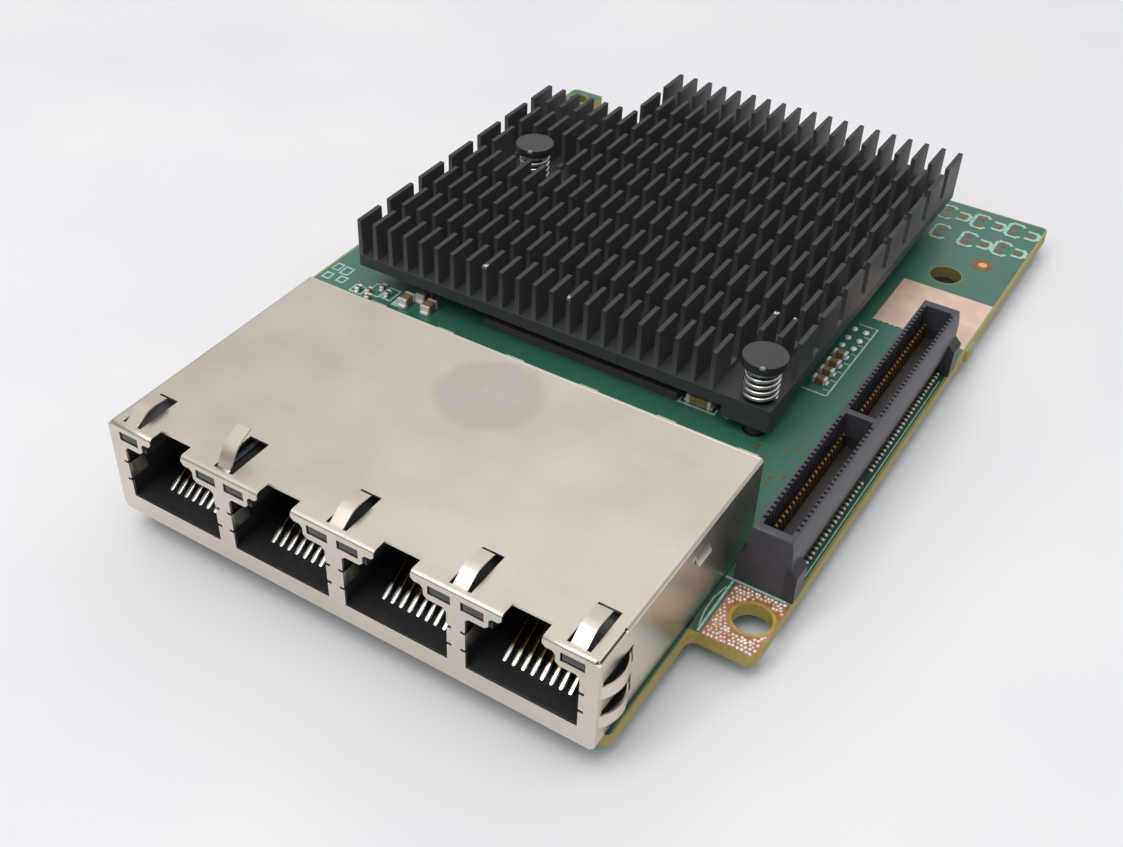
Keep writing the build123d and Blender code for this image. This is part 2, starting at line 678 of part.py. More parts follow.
crystal_at = (5.0, face_y + 84.0)
crystal_size = (5.0, 3.2, 1.2)
with BuildPart() as clock_crystal:
    with BuildSketch(Plane.XY.offset(board_top)) as crystal_plan:
        with Locations(crystal_at):
            Rectangle(crystal_size[0], crystal_size[1])
        chamfer(crystal_plan.vertices(), length=0.5)
    extrude(amount=crystal_size[2])
clock_crystal.part.label = "clock_crystal"
export_step(clock_crystal.part, "parts/clock_crystal.step")

regulator_at = [(13.0, face_y + 88.0), (-4.0, face_y + 92.0)]
regulator_size = (5.0, 5.0, 1.0)
with BuildPart() as regulators:
    with BuildSketch(Plane.XY.offset(board_top)):
        with Locations(*regulator_at):
            Rectangle(regulator_size[0], regulator_size[1])
    extrude(amount=regulator_size[2])
regulators.part.label = "regulators"
export_step(regulators.part, "parts/regulators.step")

inductor_at = [(20.0, face_y + 98.0), (3.0, face_y + 99.0)]
inductor_size = (6.6, 6.6, 2.6)
with BuildPart() as inductors:
    with BuildSketch(Plane.XY.offset(board_top)) as inductor_plan:
        with Locations(*inductor_at):
            Rectangle(inductor_size[0], inductor_size[1])
        chamfer(inductor_plan.vertices(), length=0.8)
    extrude(amount=inductor_size[2])
inductors.part.label = "inductors"
export_step(inductors.part, "parts/inductors.step")

# Decoupling capacitors on the underside, below the controller.
under_cap_size = (1.0, 0.5, 0.5)
under_cap_pitch = 5.0
with BuildPart() as underside_capacitors:
    with BuildSketch(Plane.XY.offset(pin_drop - under_cap_size[2])):
        with Locations(chip_at):
            with GridLocations(under_cap_pitch, under_cap_pitch, 3, 3):
                Rectangle(under_cap_size[0], under_cap_size[1])
    extrude(amount=under_cap_size[2])
underside_capacitors.part.label = "underside_capacitors"
export_step(underside_capacitors.part, "parts/underside_capacitors.step")
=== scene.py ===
import itertools
import math
import random

import bmesh
import bpy
from mathutils import Matrix, Vector


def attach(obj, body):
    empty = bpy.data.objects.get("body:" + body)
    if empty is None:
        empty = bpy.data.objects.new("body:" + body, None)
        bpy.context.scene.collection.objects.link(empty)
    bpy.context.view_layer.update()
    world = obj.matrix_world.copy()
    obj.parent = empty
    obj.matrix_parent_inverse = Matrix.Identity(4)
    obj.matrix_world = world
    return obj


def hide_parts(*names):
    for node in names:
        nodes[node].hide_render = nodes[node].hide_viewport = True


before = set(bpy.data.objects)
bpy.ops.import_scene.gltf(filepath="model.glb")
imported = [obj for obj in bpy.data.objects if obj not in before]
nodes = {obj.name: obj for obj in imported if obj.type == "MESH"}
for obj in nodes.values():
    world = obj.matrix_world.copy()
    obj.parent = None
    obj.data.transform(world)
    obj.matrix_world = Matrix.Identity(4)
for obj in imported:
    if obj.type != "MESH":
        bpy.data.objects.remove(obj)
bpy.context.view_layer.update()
mm = 0.001
mm_in_metre = 1000.0

# The view: the card lies on a pale table under soft light from above, seen from its front right. The
# camera stands where the ports' straight edges and the connector's pitch place it.
scene = bpy.context.scene
scene.view_settings.view_transform = "Standard"
camera_data = bpy.data.cameras.new("camera")
camera = bpy.data.objects.new("camera", camera_data)
scene.collection.objects.link(camera)
camera_right = Vector((0.83327593, 0.55282244, 0.00621144))
camera_up = Vector((-0.3578324, 0.53073262, 0.76829608))
camera_look = Vector((-0.4214347, 0.64242528, -0.64006449))
camera_eye = Vector((65.37, -123.418, 104.128)) * mm
turned = Matrix((camera_right, camera_up, -camera_look)).transposed()
camera.matrix_world = Matrix.Translation(camera_eye) @ turned.to_4x4()
camera_data.sensor_width = 36.0
camera_data.lens = 44.54
camera_data.shift_x = 0.05305
camera_data.shift_y = 0.0045
camera_data.clip_start = 0.005
camera_data.clip_end = 20
scene.camera = camera


# Circuit board: glass laminate under a green solder mask, routed out of its panel so that its edges are
# bare. Copper is left open round the holes of both ears and behind the connector.
class Shade:
    """One output of a material's nodes, so that shader maths reads as an expression."""

    def __init__(self, tree, socket):
        self.tree = tree
        self.socket = socket

    @staticmethod
    def node(tree, kind, settings=None, inputs=None):
        made = tree.nodes.new(kind)
        for key, value in (settings or {}).items():
            if key == "stops":
                ramp = made.color_ramp
                while len(ramp.elements) < len(value):
                    ramp.elements.new(0.5)
                for element, (place, colour) in zip(ramp.elements, value):
                    element.position = place
                    element.color = colour
            else:
                setattr(made, key, value)
        for key, value in (inputs or {}).items():
            if isinstance(value, Shade):
                tree.links.new(value.socket, made.inputs[key])
            else:
                made.inputs[key].default_value = value
        return made

    def maths(self, operation, *values):
        inputs = dict(enumerate(values))
        made = Shade.node(self.tree, "ShaderNodeMath", {"operation": operation}, inputs)
        return Shade(self.tree, made.outputs[0])

    def __add__(self, other):
        return self.maths("ADD", self, other)

    def __radd__(self, other):
        return self.maths("ADD", other, self)

    def __sub__(self, other):
        return self.maths("SUBTRACT", self, other)

    def __rsub__(self, other):
        return self.maths("SUBTRACT", other, self)

    def __mul__(self, other):
        return self.maths("MULTIPLY", self, other)

    def __rmul__(self, other):
        return self.maths("MULTIPLY", other, self)

    def __truediv__(self, other):
        return self.maths("DIVIDE", self, other)

    def __gt__(self, other):
        return self.maths("GREATER_THAN", self, other)

    def __lt__(self, other):
        return self.maths("LESS_THAN", self, other)

    def __abs__(self):
        return self.maths("ABSOLUTE", self)

    def __mod__(self, other):
        return self.maths("FLOORED_MODULO", self, other)

    def root(self):
        return self.maths("SQRT", self)

    def larger(self, other):
        return self.maths("MAXIMUM", self, other)

    def smaller(self, other):
        return self.maths("MINIMUM", self, other)

    def clipped(self):
        return self.larger(0.0).smaller(1.0)


class Finish:
    """A surface finish: one material with its shader and the place on the part as millimetres."""

    def __init__(self, name, roughness=0.5, metallic=0.0):
        self.material = bpy.data.materials.new(name)
        self.material.use_nodes = True
        self.tree = self.material.node_tree
        self.shader = self.tree.nodes["Principled BSDF"]
        self.shader.inputs["Roughness"].default_value = roughness
        self.shader.inputs["Metallic"].default_value = metallic
        self.place = Shade(self.tree, Shade.node(self.tree, "ShaderNodeTexCoord").outputs["Object"])
        split = Shade.node(self.tree, "ShaderNodeSeparateXYZ", None, {0: self.place})
        self.x = Shade(self.tree, split.outputs[0]) * mm_in_metre
        self.y = Shade(self.tree, split.outputs[1]) * mm_in_metre
        self.z = Shade(self.tree, split.outputs[2]) * mm_in_metre

    def noise(self, size, detail=2.0, stretch=(1, 1, 1)):
        """Cloudy noise with features about size millimetres across."""
        inputs = {"Vector": self.place, "Scale": stretch}
        scaled = Shade(self.tree, Shade.node(self.tree, "ShaderNodeMapping", None, inputs).outputs[0])
        inputs = {"Vector": scaled, "Scale": mm_in_metre / size, "Detail": detail}
        made = Shade.node(self.tree, "ShaderNodeTexNoise", None, inputs)
        return Shade(self.tree, made.outputs["Fac"])

    def ramp(self, value, *stops):
        made = Shade.node(self.tree, "ShaderNodeValToRGB", {"stops": stops}, {0: value})
        return Shade(self.tree, made.outputs[0])

    def mottled(self, cloud, dull, bright):
        """A colour that drifts between two shades as the cloud does."""
        return self.ramp(cloud, (0.3, dull), (0.7, bright))

    def mix(self, factor, first, second):
        inputs = {0: factor, 6: first, 7: second}
        made = Shade.node(self.tree, "ShaderNodeMix", {"data_type": "RGBA"}, inputs)
        return Shade(self.tree, made.outputs[2])

    def facing(self, axis):
        """How far the surface faces along an axis of the part, from -1 to 1."""
        normal = Shade(self.tree, Shade.node(self.tree, "ShaderNodeNewGeometry").outputs["True Normal"])
        split = Shade.node(self.tree, "ShaderNodeSeparateXYZ", None, {0: normal})
        return Shade(self.tree, split.outputs[axis])

    def distance(self, x, y):
        """Distance in plan from a point of the part."""
        away_x = self.x - x
        away_y = self.y - y
        return (away_x * away_x + away_y * away_y).root()

    def inside(self, left, right, front, back):
        """One inside a rectangle in plan, zero outside it."""
        return (self.x > left) * (self.x < right) * (self.y > front) * (self.y < back)

    def bump(self, height, strength, depth):
        inputs = {"Height": height, "Strength": strength, "Distance": depth * mm}
        made = Shade.node(self.tree, "ShaderNodeBump", None, inputs)
        self.tree.links.new(made.outputs[0], self.shader.inputs["Normal"])

    def feed(self, socket, value):
        self.tree.links.new(value.socket, self.shader.inputs[socket])


def rgb(red, green, blue):
    """A colour as a screen shows it, 0 to 255, made linear."""
    linear = []
    for part in (red, green, blue):
        share = part / 255
        linear.append(share / 12.92 if share <= 0.04045 else ((share + 0.055) / 1.055) ** 2.4)
    return (*linear, 1.0)


def cloudy(name, size, dull, bright, smoothest, spread=0.2, detail=2, metallic=0.0):
    """A finish whose colour and roughness drift together, in clouds about size millimetres across."""
    finish = Finish(name, metallic=metallic)
    finish.cloud = finish.noise(size, detail)
    finish.feed("Base Color", finish.mottled(finish.cloud, dull, bright))
    finish.feed("Roughness", smoothest + spread * finish.cloud)
    return finish


def only(piece):
    """Selects one piece and makes it the active one."""
    bpy.ops.object.select_all(action="DESELECT")
    piece.select_set(True)
    bpy.context.view_layer.objects.active = piece


def settle(piece, finish, slot, *stands_for):
    """Gives a finished piece its material and ties it to the card."""
    piece.data.materials.clear()
    piece.data.materials.append(finish.material)
    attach(piece, "root")
    if stands_for:
        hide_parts(*stands_for)


def broken_edges(piece, width, segments=2, angle=35):
    """Breaks a piece's sharp edges with a small bevel and shades its flat faces flat."""
    only(piece)
    bevel = piece.modifiers.new("edge", "BEVEL")
    bevel.width = width * mm
    bevel.segments = segments
    bevel.limit_method = "ANGLE"
    bevel.angle_limit = math.radians(angle)
    bpy.ops.object.modifier_apply(modifier="edge")
    bpy.ops.object.shade_smooth_by_angle(angle=math.radians(40))
    weights = piece.modifiers.new("weights", "WEIGHTED_NORMAL")
    weights.weight = 100
    weights.keep_sharp = True
    bpy.ops.object.modifier_apply(modifier="weights")


def merged(name, node):
    """A copy of a solid's mesh with its loose triangles joined and its flat faces made whole."""
    piece = bpy.data.objects.new(name, nodes[node].data.copy())
    scene.collection.objects.link(piece)
    only(piece)
    bpy.ops.object.mode_set(mode="EDIT")
    bpy.ops.mesh.select_all(action="SELECT")
    bpy.ops.mesh.remove_doubles(threshold=0.002 * mm)
    bpy.ops.mesh.dissolve_limited(angle_limit=math.radians(0.5))
    bpy.ops.object.mode_set(mode="OBJECT")
    return piece


def softened(name, node, width, segments=2, angle=35):
    piece = merged(name, node)
    broken_edges(piece, width, segments, angle)
    return piece


board_low = 2.0
board_top = 3.6
board_middle = (board_low + board_top) / 2
jack_x = 1.7
ear_hole = (35.35, -33.0)
left_ear_hole = (-35.75, -33.0)
guide_hole = (29.95, 36.1)
corner_hole = (-35.9, 52.2)
tongue_half = 29.1
tongue_front = -54.9
tongue_back = -29.4
ear_front = -37.45
ear_back = -29.45
ear_ring = 2.36
mask = Finish("solder_mask")
mask_cloud = mask.noise(16, 3)
lanes = (mask.x % 1.3 < 0.45) * (mask.noise(11, 1) > 0.54)
cross_lanes = (mask.y % 1.7 < 0.5) * (mask.noise(13, 1, (1, 1, 3)) > 0.57)
traces = lanes.larger(cross_lanes)
green = mask.mottled(mask_cloud, rgb(44, 100, 80), rgb(54, 112, 92))
green = mask.mix(traces * 0.14, green, rgb(70, 130, 108))
# Painted shade: strips beside the connector's outer wall and the jack's sides are darker green.
edge_strip = mask.inside(36.2, 37.45, -29.1, 20.0)
right_strip = mask.inside(29.6, 31.7, tongue_front, tongue_back)
left_strip = mask.inside(-28.4, -26.0, tongue_front, tongue_back)
painted_shade_strips = edge_strip.larger(right_strip).larger(left_strip) * (mask.z > board_middle)
green = mask.mix(painted_shade_strips * 0.7, green, rgb(24, 58, 42))
upward = mask.facing(2)
on_top = upward > 0.6
margin = (mask.x > 37.5).larger(mask.x < -37.9).larger(mask.y > 54.75)
margin = margin.larger((mask.y < -37.5) * (abs(mask.x - jack_x) > tongue_half))
green = mask.mix(margin * 0.8, green, rgb(158, 156, 84))
ring = (mask.distance(*ear_hole) < ear_ring).larger(mask.distance(*left_ear_hole) < ear_ring)
small_ring = (mask.distance(*guide_hole) < 2.2).larger(mask.distance(*corner_hole) < 1.75)
right_field = mask.inside(31.95, 37.75, ear_front, ear_back)
left_field = mask.inside(-38.1, -32.3, ear_front, ear_back)
ear_field = right_field.larger(left_field) * (1 - ring)
rough_edge = mask.noise(0.5, 1) * 0.5
open_field = (mask.x > 25.75) * (mask.x < 37.5) * (mask.y < 32.35) * (mask.y > 21.2 + rough_edge)
open_field = open_field + ear_field
ring_colour = mask.mottled(mask.noise(1.2, 2), rgb(168, 140, 52), rgb(198, 168, 82))
copper_cloud = mask.noise(2.2, 4)
copper = mask.mottled(copper_cloud, rgb(222, 188, 166), rgb(238, 210, 192))
ear_copper = mask.ramp(copper_cloud, (0.35, rgb(184, 112, 76)), (0.7, rgb(222, 164, 122)))
copper = mask.mix(ear_field, copper, ear_copper)
surface = mask.mix(open_field * on_top, green, copper)
surface = mask.mix(ring * on_top, surface, ring_colour)
surface = mask.mix(small_ring * (1 - ring), surface, rgb(118, 124, 62))
weave = mask.noise(0.5, 2, (1, 1, 7))
laminate = mask.mottled(weave, rgb(146, 128, 50), rgb(188, 168, 84))
edge = abs(upward) < 0.6
laminate = mask.mix(small_ring * 0.7, laminate, rgb(84, 88, 38))
mask.feed("Base Color", mask.mix(edge, surface, laminate))
mask.feed("Metallic", open_field * on_top * (0.45 + 0.25 * ear_field))
mask.feed("Roughness", 0.3 + 0.12 * mask_cloud + 0.25 * edge + 0.1 * open_field)
mask.shader.inputs["Specular IOR Level"].default_value = 0.8
mask.bump(traces + 0.3 * mask.noise(0.4, 2), 0.15, 0.02)
board = softened("board", "circuit_board", 0.08)
settle(board, mask, "board_mask", "circuit_board")


# Solder and pads: hot-air levelled solder stands in small drops on the ears' copper, bare pads wait for
# parts that aren't fitted, and cones of solder hold the jack's pins under the board.
def begun(name):
    """An empty mesh at the origin, open for editing."""
    bpy.ops.object.select_all(action="DESELECT")
    bpy.ops.object.add(type="MESH", enter_editmode=True)
    piece = bpy.context.object
    piece.name = name
    return piece


def ended(piece, angle=50):
    """Closes an edited mesh and smooths it up to an angle."""
    bpy.ops.object.mode_set(mode="OBJECT")
    only(piece)
    bpy.ops.object.shade_smooth_by_angle(angle=math.radians(angle))


def block(x, y, z, width, length, height, turn=0.0):
    bpy.ops.mesh.primitive_cube_add(
        size=1,
        location=(x * mm, y * mm, z * mm),
        rotation=(0, 0, turn),
        scale=(width * mm, length * mm, height * mm),
    )


def disc(x, y, z, radius, height, sides=14):
    bpy.ops.mesh.primitive_cylinder_add(
        vertices=sides, radius=radius * mm, depth=height * mm, location=(x * mm, y * mm, z * mm)
    )


def dome(x, y, z, width, length, height, turn=0.0):
    bpy.ops.mesh.primitive_uv_sphere_add(
        segments=10,
        ring_count=6,
        radius=0.5,
        location=(x * mm, y * mm, z * mm),
        rotation=(0, 0, turn),
        scale=(width * mm, length * mm, height * mm),
    )


solder = cloudy("bright_solder", 0.5, rgb(224, 219, 213), rgb(250, 248, 245), 0.22, metallic=0.2)
chance = random.Random(7)
drop_rows = 18
drop_columns = 13
drop_pitch = 0.44
drop_front = -37.15
drop_stray = 0.08
drop_height = 0.36
drop_clear = 2.62
ear_end = 37.5
drops = begun("ear_solder_drops")
for drop_left, hole in ((32.25, ear_hole), (-37.65, left_ear_hole)):
    for row in range(drop_rows):
        for column in range(drop_columns):
            x = drop_left + drop_pitch * column + drop_pitch / 2 * (row % 2)
            x += chance.uniform(-drop_stray, drop_stray)
            y = drop_front + drop_pitch * row + chance.uniform(-drop_stray, drop_stray)
            if math.hypot(x - hole[0], y - hole[1]) < drop_clear or abs(x) > ear_end:
                continue
            wide = chance.uniform(0.38, 0.5)
            long = wide * chance.uniform(0.85, 1.2)
            dome(x, y, board_top, wide, long, drop_height, chance.uniform(0, 3))
ended(drops)
drop_tin = cloudy("coppery_solder", 0.6, rgb(222, 190, 172), rgb(250, 240, 234), 0.2, metallic=0.55)
settle(drops, drop_tin, "pin_tin")

pad_metal = Finish("bare_pads", metallic=0.6)
pad_cloud = pad_metal.noise(0.7, 2)
pad_brown = pad_metal.mottled(pad_cloud, rgb(124, 92, 62), rgb(152, 118, 82))
fiducial = (33.23, 41.03)
pad_brown = pad_metal.mix(pad_metal.distance(*fiducial) < 0.6, pad_brown, rgb(236, 186, 122))
pad_metal.feed("Base Color", pad_brown)
pad_metal.feed("Roughness", 0.35 + 0.2 * pad_cloud)
pad_pairs = [(24.6, 51.6), (25.55, 46.1), (29.33, 51.65), (34.01, 52.0), (29.38, 46.2), (33.95, 46.45)]
lone_pads = [(26.88, 51.55), (31.77, 51.73), (36.37, 51.76), (31.65, 46.09), (36.19, 46.47)]
connector_vias = [(27.36, -7.8), (28.65, -6.93), (27.89, -13.08), (29.06, -12.29), (27.95, -14.21)]
sink_vias = [(26.2, -10.4), (24.6, -8.9), (24.5, -9.5), (10.1, -7.6), (-14.2, -9.3)]
back_vias = [(-20.5, 33.0), (-30.5, 40.0), (-27.0, 44.5)]
pad_reach = 1.0
pad_wide = 0.75
pad_long = 0.9
pad_thick = 0.05
pad_z = board_top + 0.01
pads = begun("bare_pads")
for x, y in pad_pairs:
    for side in (-1, 1):
        block(x, y + side * pad_reach, pad_z, pad_wide, pad_long, pad_thick)
for x, y in lone_pads:
    block(x, y, pad_z, 0.8, pad_long, pad_thick)
for x, y in connector_vias + sink_vias + back_vias:
    disc(x, y, pad_z, 0.26, pad_thick)
disc(*fiducial, board_top + 0.005, 1.4, 0.03, 28)
disc(*fiducial, board_top + 0.02, 0.55, 0.06, 20)
ended(pads)
settle(pads, pad_metal, "contact_gold")

port_pitch = 13.97
port_xs = [jack_x + (port - 1.5) * port_pitch for port in range(4)]
pin_pitch = 2.54
pin_middle = -31.6
pin_reach = 3.8
cone_z = 1.57
cones = begun("solder_cones")
for port_x in port_xs:
    for column, row in itertools.product((-1, 0, 1), (-1, 1)):
        x = port_x + pin_pitch * column
        y = pin_middle + pin_reach * row
        bpy.ops.mesh.primitive_cone_add(
            vertices=14,
            radius1=0.3 * mm,
            radius2=0.85 * mm,
            depth=0.9 * mm,
            location=(x * mm, y * mm, cone_z * mm),
        )
ended(cones)
settle(cones, solder, "pin_tin")

# Marking ink: thin pale lines printed on the mask round the places of parts. Lines that cross lie on
# different coats, so that their faces don't coincide.
ink = Finish("marking_ink", roughness=0.6)
ink_cloud = ink.noise(0.6, 3)
ink.feed("Base Color", ink.ramp(ink_cloud, (0.35, rgb(140, 184, 172)), (0.65, rgb(186, 212, 203))))
ink.feed("Roughness", 0.5 + 0.2 * ink_cloud)
ink_coats = itertools.cycle((0.01, 0.014, 0.018, 0.022, 0.026))
ink_thick = 0.06


def line(width, *points):
    """Straight strokes of ink from each point to the next."""
    for start, end in itertools.pairwise(points):
        run = Vector(end) - Vector(start)
        middle = (Vector(start) + Vector(end)) / 2
        z = board_top + next(ink_coats)
        block(middle.x, middle.y, z, run.length + width, width, ink_thick, math.atan2(run.y, run.x))


def outline(width, left, right, front, back):
    line(width, (left, front), (right, front), (right, back), (left, back), (left, front))


supply_left = 13.35
supply_right = 17.95
supply_front = -6.9
supply_back = -6.0
row_frame_x = 27.28
row_frame_front = 3.5
row_frame_back = 19.3
halo = 0.42
lone_halo = 0.5
marking = begun("marking_ink")
line(0.28, (30.8, -29.25), (37.3, -29.25))
line(0.26, (31.55, -29.4), (31.6, -37.2))
line(0.13, (31.3, -30.6), (30.95, -32.6), (31.0, -34.6), (31.4, -36.6))
line(0.13, (37.25, -29.2), (37.25, 13.5))
line(0.3, (supply_left, supply_front), (supply_right, supply_front))
line(0.26, (supply_left, supply_front), (supply_left, supply_back))
line(0.26, (supply_right, supply_front), (supply_right, supply_back))
line(0.22, (18.7, -6.4), (19.5, -6.6))
line(0.2, (18.7, -6.0), (18.7, -6.4))
line(0.2, (row_frame_x, row_frame_front), (row_frame_x, row_frame_back))
line(0.2, (24.2, row_frame_front), (row_frame_x, row_frame_front))
line(0.14, (24.9, row_frame_back), (row_frame_x, row_frame_back))
for y in (4.5, 6.6, 8.6, 10.6, 12.8, 14.95, 16.95):
    line(0.14, (26.5, y), (27.2, y))
for x, y in pad_pairs:
    line(halo, (x - 0.95, y - 1.35), (x - 0.95, y + 1.35))
    for end in (-1, 1):
        rim = y + 1.8 * end
        line(halo, (x - 0.95, y + 1.35 * end), (x - 0.55, rim), (x + 0.55, rim), (x + 0.9, y + 1.45 * end))
for x, y in lone_pads:
    line(lone_halo, (x + 0.95, y - 0.5), (x + 0.95, y + 0.5))
    for end in (-1, 1):
        rim = y + 0.95 * end
        line(lone_halo, (x + 0.95, y + 0.5 * end), (x + 0.55, rim))
        line(lone_halo, (x - 0.45, rim), (x + 0.55, rim))
outline(0.24, -32.4, -30.6, -10.35, -8.85)
outline(0.24, -30.2, -28.4, -9.6, -7.2)
outline(0.24, -28.2, -26.6, -9.4, -7.0)
outline(0.26, -37.4, -36.4, -7.6, -6.2)
outline(0.26, -35.9, -34.7, -7.9, -6.3)
outline(0.26, -35.2, -34.1, -9.6, -8.4)
outline(0.26, -37.3, -36.3, -9.8, -8.6)
block(-25.6, -9.2, pad_z, 1.0, 1.5, pad_thick)
block(-25.3, -7.3, pad_z, 0.8, 0.8, pad_thick)
ended(marking)
settle(marking, ink, "board_mask")

# Jack shield: one sheet of nickel-plated steel, pierced and folded, with its ground springs bent out of
# the top and sides. Handling has left a dull smudge and faint streaks on the plating.
nickel = Finish("satin_nickel", metallic=1.0)
haze = nickel.noise(9, 4)
grain = nickel.noise(0.3, 2, (1, 0.25, 1))
smudge_middle = (2.5, -30.0)
smudge_edge = 5.6 + 1.6 * nickel.noise(5, 2) - nickel.distance(*smudge_middle)
smudge = (smudge_edge / 1.2).clipped() * (0.6 + 0.4 * nickel.noise(1.5, 3)) * (nickel.z > 14.6)
streaks = ((nickel.noise(6, 3, (0.5, 1.5, 1)) - 0.58) * 5.0).clipped()
plating = nickel.ramp(haze, (0.35, rgb(213, 205, 190)), (0.65, rgb(223, 214, 204)))
plating = nickel.mix(smudge * 0.55, plating, rgb(184, 172, 170))
plating = nickel.mix(streaks * 0.2, plating, rgb(188, 178, 160))
from_middle = abs(nickel.x - jack_x)
# Painted shade: the flaps just inside the port openings are darker.
flaps_painted_shade = (nickel.y > -54.6) * (nickel.y < -52.0) * (nickel.z < 10.2) * (from_middle < 28.4)
plating = nickel.mix(flaps_painted_shade * 0.7, plating, rgb(84, 78, 68))
seam = (nickel.z > 14.72) * (nickel.z < 14.84) * (nickel.y < -50.3) * (from_middle > 28.3)
plating = nickel.mix(seam, plating, rgb(96, 88, 76))
nickel.feed("Base Color", plating)
nickel.feed("Roughness", 0.28 + 0.05 * haze + 0.1 * smudge + 0.06 * streaks)
nickel.bump(grain, 0.12, 0.02)
shield = softened("shield", "jack_shield", 0.05)
settle(shield, nickel, "shield_nickel", "jack_shield")
rear_shield = softened("rear_shield", "jack_rear_shield", 0.05)
settle(rear_shield, nickel, "shield_nickel", "jack_rear_shield")

# Jack housing: black glass-filled moulding behind the shield, with a plug cavity for each port. Its roof,
# which the springs' slots in the shield show, is painted darkest: painted shade under the shield.
painted_shade_roof_low = 13.3
moulding = Finish("black_moulding")
pores = moulding.noise(0.6, 2)
jet = moulding.ramp(pores, (0.2, rgb(42, 42, 44)), (0.8, rgb(54, 54, 56)))
# Painted shade: above roof height the moulding is near black.
moulding.feed("Base Color", moulding.mix(moulding.z > painted_shade_roof_low, jet, rgb(20, 18, 20)))
moulding.shader.inputs["Specular IOR Level"].default_value = 0.3
moulding.feed("Roughness", 0.4 + 0.2 * pores)
moulding.bump(pores, 0.1, 0.02)
housing = softened("plug_cavities", "jack_housing", 0.08)
settle(housing, moulding, "jack_plastic", "jack_housing")

# In each port: eight spring wires, their tips painted near white as plating and a painted highlight, their
# backs painted dark as bronze and painted shade; two smoked lamp lenses, and behind them the potted
# transformers, whose pins go through the board.
gold = Finish("contact_plating", metallic=1.0)
wear = gold.noise(1.2, 2)
tip_back = -50.7
# Tips painted near white: plating and a painted highlight. Backs painted dark: bronze and painted shade.
tip_plating_and_highlight = ((tip_back - gold.y) / 0.5).clipped()
wire_back_bronze_and_shade = gold.mottled(wear, rgb(66, 48, 32), rgb(100, 74, 48))
gold.feed("Base Color", gold.mix(tip_plating_and_highlight, wire_back_bronze_and_shade, rgb(250, 246, 238)))
gold.feed("Roughness", 0.2 + 0.16 * wear)
lens = cloudy("smoked_lens", 1.5, rgb(58, 56, 57), rgb(72, 70, 71), 0.2, 0.15)
tin = cloudy("tinned_pin", 0.8, rgb(180, 180, 178), rgb(214, 214, 210), 0.3, metallic=1.0)
wire_swell = 0.09
lens_front = -54.4
lens_forward = 0.28


def finish_node(node, finish):
    """Gives a material to a solid that is shown as it is."""
    nodes[node].data.materials.clear()
    nodes[node].data.materials.append(finish.material)


for port in range(1, 5):
    wires = merged(f"wires_{port}", f"port_{port}_contacts")
    bpy.ops.object.mode_set(mode="EDIT")
    bpy.ops.mesh.select_all(action="SELECT")
    bpy.ops.transform.shrink_fatten(value=wire_swell * mm)
    bpy.ops.object.mode_set(mode="OBJECT")
    broken_edges(wires, 0.15, 3)
    settle(wires, gold, "contact_gold", f"port_{port}_contacts")
    lenses = merged(f"lenses_{port}", f"port_{port}_lamp_lenses")
    bpy.ops.object.mode_set(mode="EDIT")
    bpy.ops.mesh.select_all(action="DESELECT")
    shape = bmesh.from_edit_mesh(lenses.data)
    for corner in shape.verts:
        if corner.co.y < lens_front * mm:
            corner.select_set(True)
    bmesh.update_edit_mesh(lenses.data)
    bpy.ops.transform.translate(value=(0, -lens_forward * mm, 0))
    bpy.ops.object.mode_set(mode="OBJECT")
    broken_edges(lenses, 0.08)
    settle(lenses, lens, "lamp_lens", f"port_{port}_lamp_lenses")
    finish_node(f"port_{port}_transformers", moulding)
    finish_node(f"port_{port}_board_pins", tin)

# Controller chip and the soft pad on it: a black moulded package, with the memory chip and the regulators
# in the same mould. The grey pad takes up the gap to the heat sink.
mould = cloudy("chip_mould", 0.8, rgb(62, 62, 64), rgb(76, 76, 78), 0.5, detail=3)
mould.bump(mould.cloud, 0.15, 0.02)
chip = softened("controller", "controller_chip", 0.12)
settle(chip, mould, "chip_mould", "controller_chip")
memory = softened("memory", "memory_chip", 0.06)
settle(memory, mould, "chip_mould", "memory_chip")
regulator_pair = softened("regulator_pair", "regulators", 0.1)
settle(regulator_pair, mould, "chip_mould", "regulators")
rubber = cloudy("pad_rubber", 0.5, rgb(84, 86, 90), rgb(104, 106, 110), 0.75, 0.15, detail=3)
soft_pad = softened("soft_pad", "thermal_pad", 0.15)
settle(soft_pad, rubber, "pad_rubber", "thermal_pad")

# Heat sink: extruded aluminium, sawn across into pins and anodised black. Knocks have bared the metal on
# a few fin ends.
anodised = Finish("black_anodised")
dye = anodised.noise(5, 3)
drawn = anodised.noise(0.25, 2, (1, 0.08, 1))
sink_low = 6.8
fin_root = 8.4
fin_top = 13.5
root_share = (fin_root - sink_low) / (fin_top - sink_low)
# Painted light and shade: flanks lighter towards the fin roots; base, valley floors and tops darker.
rise = (anodised.z - sink_low) / (fin_top - sink_low)
base_painted_shade = (root_share - 0.01, rgb(60, 60, 62))
root_painted_light = (root_share, rgb(98, 98, 102))
flank_light_and_shade = anodised.ramp(rise, base_painted_shade, root_painted_light, (1.0, rgb(60, 60, 63)))
flank_light_and_shade = anodised.mix(dye * 0.3, flank_light_and_shade, rgb(70, 70, 74))
top_painted_shade = ((anodised.facing(2) - 0.5) * 4.0).clipped() * (anodised.z > fin_top - 0.4)
valley_painted_shade = (anodised.facing(2) > 0.7) * (anodised.z < fin_root + 0.3)
flank_light_and_shade = anodised.mix(valley_painted_shade, flank_light_and_shade, rgb(62, 62, 65))
black = anodised.mix(top_painted_shade, flank_light_and_shade, rgb(48, 48, 51))
largest_nick = (-12.4, -8.6)
small_nicks = [(20.07, 2.2), (22.3, 2.5), (-1.2, -8.6)]
bare = anodised.distance(*largest_nick) < 0.55
